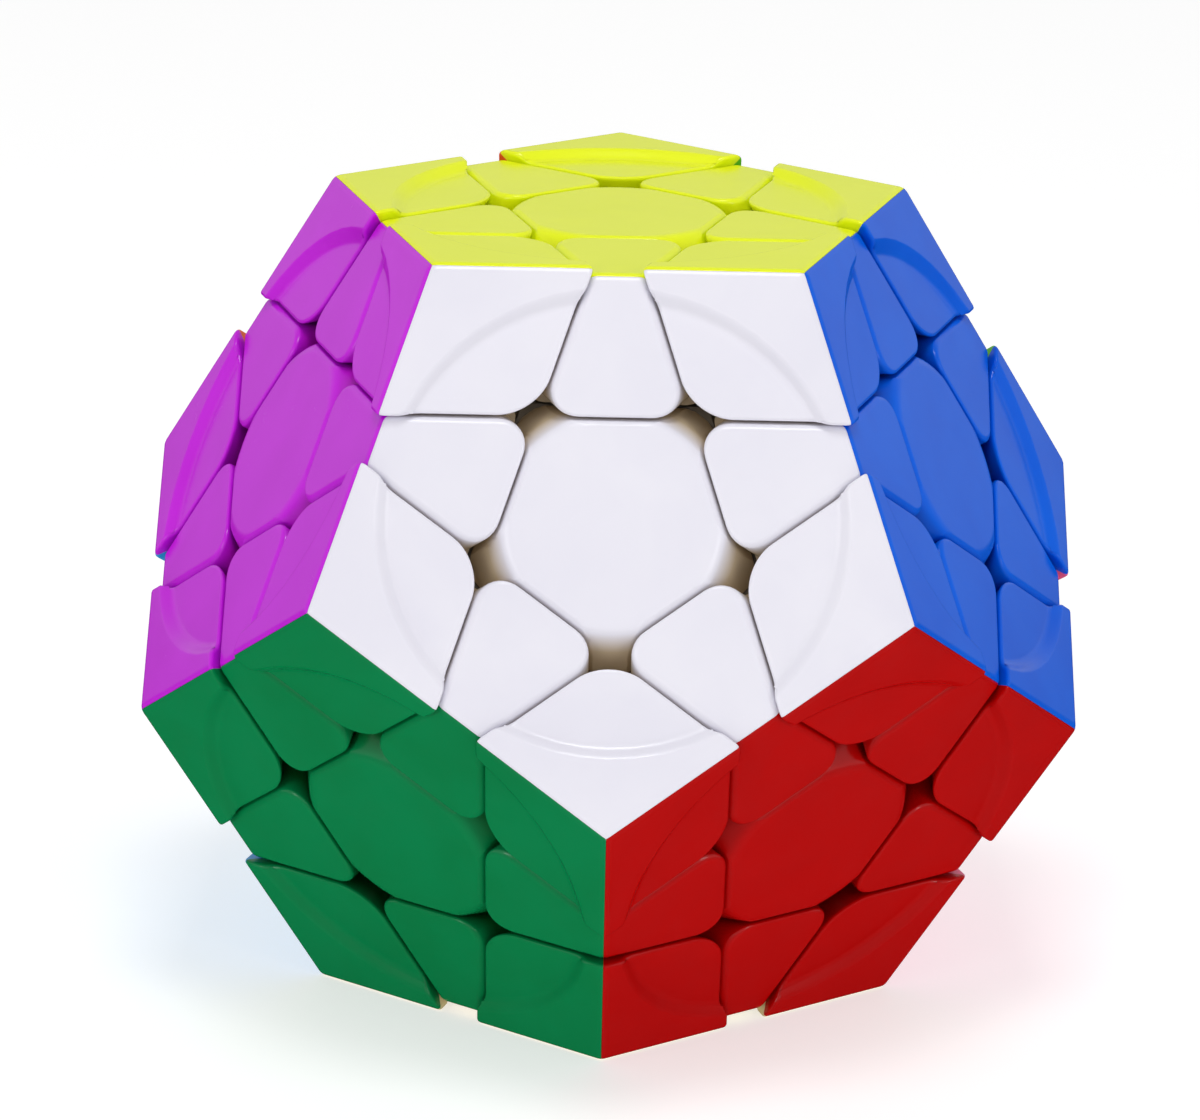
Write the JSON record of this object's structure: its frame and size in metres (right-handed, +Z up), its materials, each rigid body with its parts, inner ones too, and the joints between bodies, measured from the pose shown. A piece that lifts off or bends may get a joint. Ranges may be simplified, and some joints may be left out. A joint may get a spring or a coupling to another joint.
{
  "type": "dodecahedron twisty puzzle",
  "caption": "Dodecahedral twisty puzzle with a different plastic colour on each face, raised corner tiles, low edge tiles and rounded centre caps, whose layers turn about a sprung core.",
  "frame": {"origin": "middle of the bottom face, on the plane of its raised corner tiles, which is the plane that it stands on", "axes": "+Z up through the top face; -Y is the side of the white face that looks at the viewer"},
  "size_m": [0.0938, 0.0986, 0.0798],
  "materials": {
    "white_plastic": "smooth glossy white ABS with a faint cool tint",
    "yellow_plastic": "smooth glossy fluorescent yellow ABS",
    "purple_plastic": "smooth glossy purple ABS",
    "blue_plastic": "smooth glossy blue ABS",
    "green_plastic": "smooth glossy dark green ABS",
    "red_plastic": "smooth glossy red ABS",
    "light_green_plastic": "smooth glossy light green ABS",
    "orange_plastic": "smooth glossy orange ABS",
    "light_blue_plastic": "smooth glossy light blue ABS",
    "pink_plastic": "smooth glossy pink ABS",
    "grey_plastic": "smooth glossy grey ABS",
    "cream_plastic": "smooth glossy cream ABS",
    "foot_plastic": "satin warm grey ABS, moulded, slightly slippery",
    "core_plastic": "satin natural nylon",
    "screw_steel": "zinc-plated steel",
    "washer_steel": "stamped steel",
    "spring_steel": "drawn spring steel wire"
  },
  "bodies": {
    "core_and_rest": {"centre_cap_green": "green_plastic", "centre_cap_grey": "grey_plastic", "centre_cap_light_blue": "light_blue_plastic", "centre_cap_light_green": "light_green_plastic", "centre_cap_orange": "orange_plastic", "centre_cap_pink": "pink_plastic", "centre_cap_red": "red_plastic", "centre_cap_white": "white_plastic", "centre_cap_yellow": "yellow_plastic", "centre_screws": "screw_steel", "centre_springs": "spring_steel", "core_lower_half": "core_plastic", "core_upper_half": "core_plastic", "main_centre_hubs": "foot_plastic", "main_corner_feet": "foot_plastic", "main_edge_feet": "foot_plastic", "main_tiles_green": "green_plastic", "main_tiles_grey": "grey_plastic", "main_tiles_light_blue": "light_blue_plastic", "main_tiles_light_green": "light_green_plastic", "main_tiles_orange": "orange_plastic", "main_tiles_pink": "pink_plastic", "main_tiles_red": "red_plastic", "main_tiles_white": "white_plastic", "main_tiles_yellow": "yellow_plastic", "screw_washers": "washer_steel"},
    "left_layer": {"centre_cap_purple": "purple_plastic", "left_centre_hubs": "foot_plastic", "left_corner_feet": "foot_plastic", "left_edge_feet": "foot_plastic", "left_tiles_green": "green_plastic", "left_tiles_light_blue": "light_blue_plastic", "left_tiles_orange": "orange_plastic", "left_tiles_purple": "purple_plastic", "left_tiles_white": "white_plastic", "left_tiles_yellow": "yellow_plastic"},
    "right_layer": {"centre_cap_blue": "blue_plastic", "right_centre_hubs": "foot_plastic", "right_corner_feet": "foot_plastic", "right_edge_feet": "foot_plastic", "right_tiles_blue": "blue_plastic", "right_tiles_light_green": "light_green_plastic", "right_tiles_pink": "pink_plastic", "right_tiles_red": "red_plastic", "right_tiles_white": "white_plastic", "right_tiles_yellow": "yellow_plastic"},
    "bottom_layer": {"bottom_centre_hubs": "foot_plastic", "bottom_corner_feet": "foot_plastic", "bottom_edge_feet": "foot_plastic", "bottom_tiles_cream": "cream_plastic", "bottom_tiles_green": "green_plastic", "bottom_tiles_grey": "grey_plastic", "bottom_tiles_light_blue": "light_blue_plastic", "bottom_tiles_pink": "pink_plastic", "bottom_tiles_red": "red_plastic", "centre_cap_cream": "cream_plastic"}
  },
  "joints": [
    {"name": "left_turn", "type": "hinge", "parent": "core_and_rest", "child": "left_layer", "pos_m": [0, 0, 0.0399], "axis": [-0.8507, -0.2764, 0.4472], "continuous": true},
    {"name": "right_turn", "type": "hinge", "parent": "core_and_rest", "child": "right_layer", "pos_m": [0, 0, 0.0399], "axis": [0.8507, -0.2764, 0.4472], "continuous": true},
    {"name": "bottom_turn", "type": "hinge", "parent": "core_and_rest", "child": "bottom_layer", "pos_m": [0, 0, 0.0399], "axis": [0, 0, -1], "continuous": true}
  ]
}
